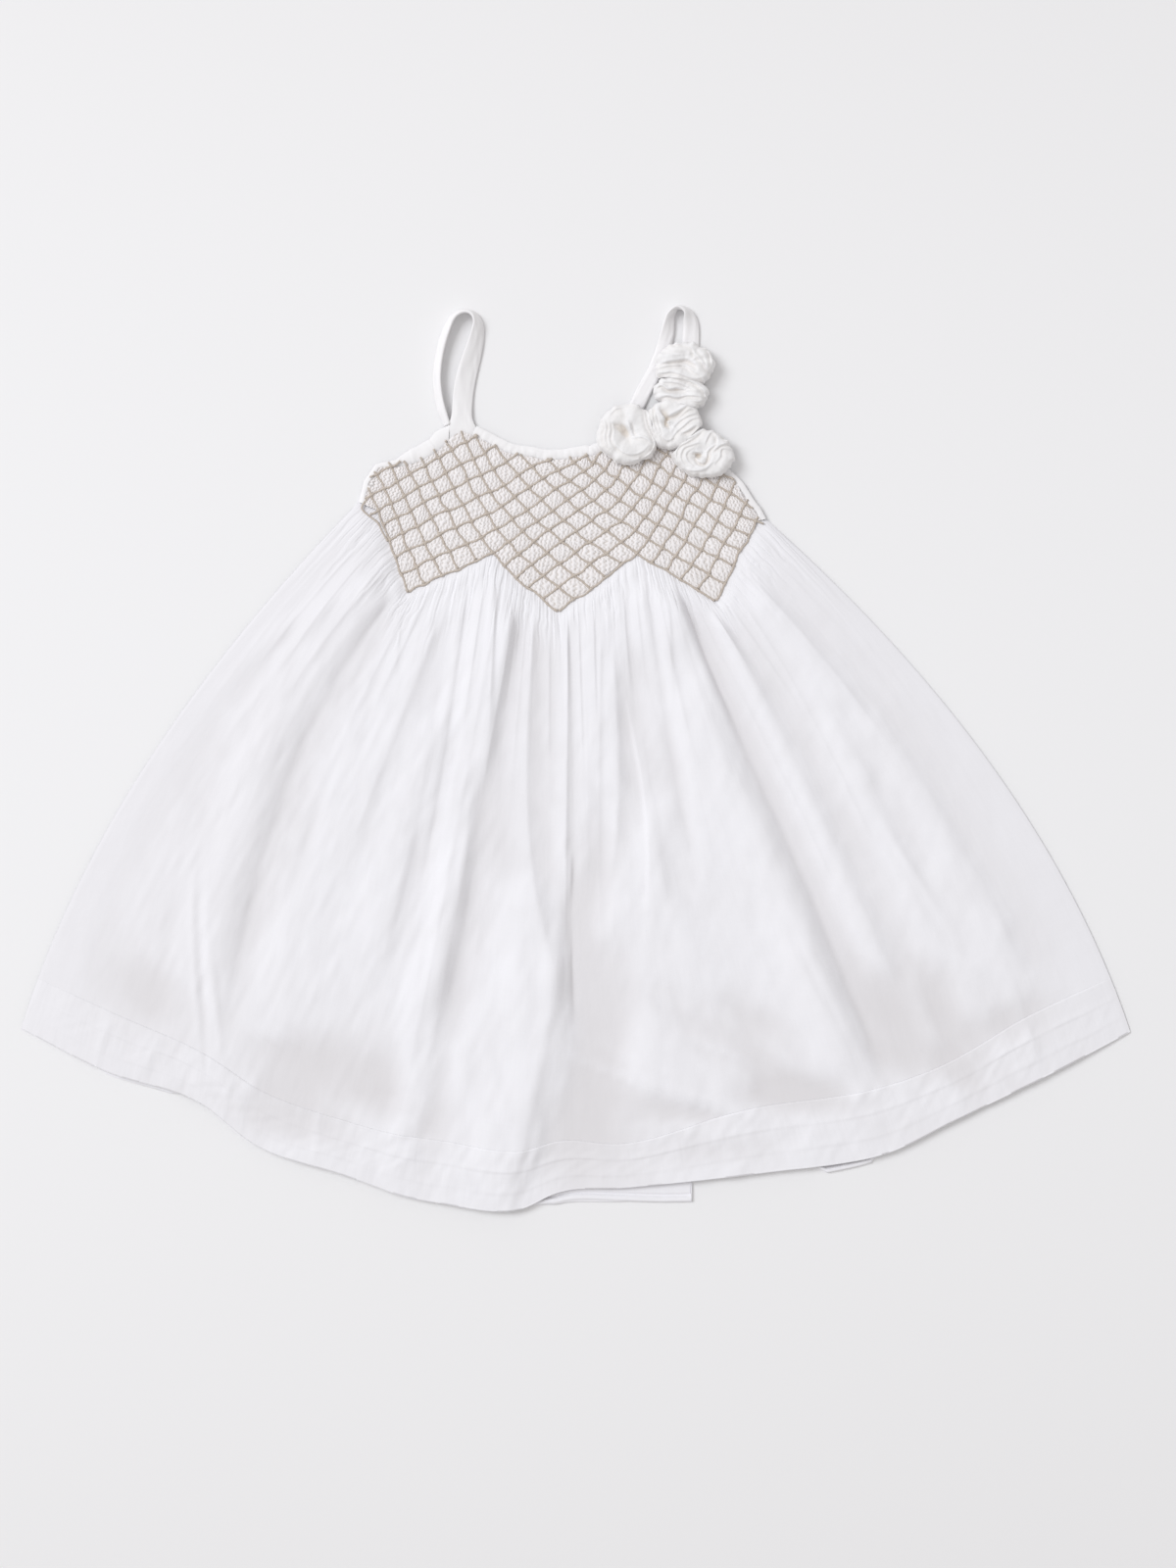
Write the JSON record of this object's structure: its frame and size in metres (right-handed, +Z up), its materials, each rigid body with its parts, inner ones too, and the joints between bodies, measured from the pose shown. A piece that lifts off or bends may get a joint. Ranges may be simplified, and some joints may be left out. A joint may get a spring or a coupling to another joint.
{
  "type": "toddler dress",
  "caption": "Sleeveless toddler dress in thin white cotton, laid flat: smocked top with looped straps and rosettes, and a full gathered skirt with a deep tucked hem.",
  "frame": {"origin": "on the surface that the dress lies on, under the middle of its outline", "axes": "+X towards the side with the rosettes, as seen from above with the hem below, +Y from the hem to the straps, +Z up out of the surface"},
  "size_m": [0.5882, 0.4801, 0.0149],
  "materials": {
    "smocked_cotton": "fine pleats drawn up by diamond smocking, matt",
    "skirt_cotton": "thin plain weave, soft creases, matt",
    "hem_cotton": "doubled plain weave with two narrow tucks, matt",
    "back_cotton": "thin plain weave, matt",
    "binding_cotton": "folded plain weave, matt",
    "strap_cotton": "turned tube of plain weave, matt",
    "rosette_cotton": "gathered plain weave, matt"
  },
  "bodies": {
    "root": {"front_yoke": "smocked_cotton", "front_skirt": "skirt_cotton", "front_hem_band": "hem_cotton", "back_panel": "back_cotton", "back_hem_band": "hem_cotton", "neck_binding": "binding_cotton", "armhole_binding_left": "binding_cotton", "armhole_binding_right": "binding_cotton", "strap_left": "strap_cotton", "strap_right": "strap_cotton", "rosette_neck": "rosette_cotton", "rosette_corner": "rosette_cotton", "rosette_armhole": "rosette_cotton", "rosette_strap_low": "rosette_cotton", "rosette_strap_high": "rosette_cotton"}
  },
  "joints": []
}
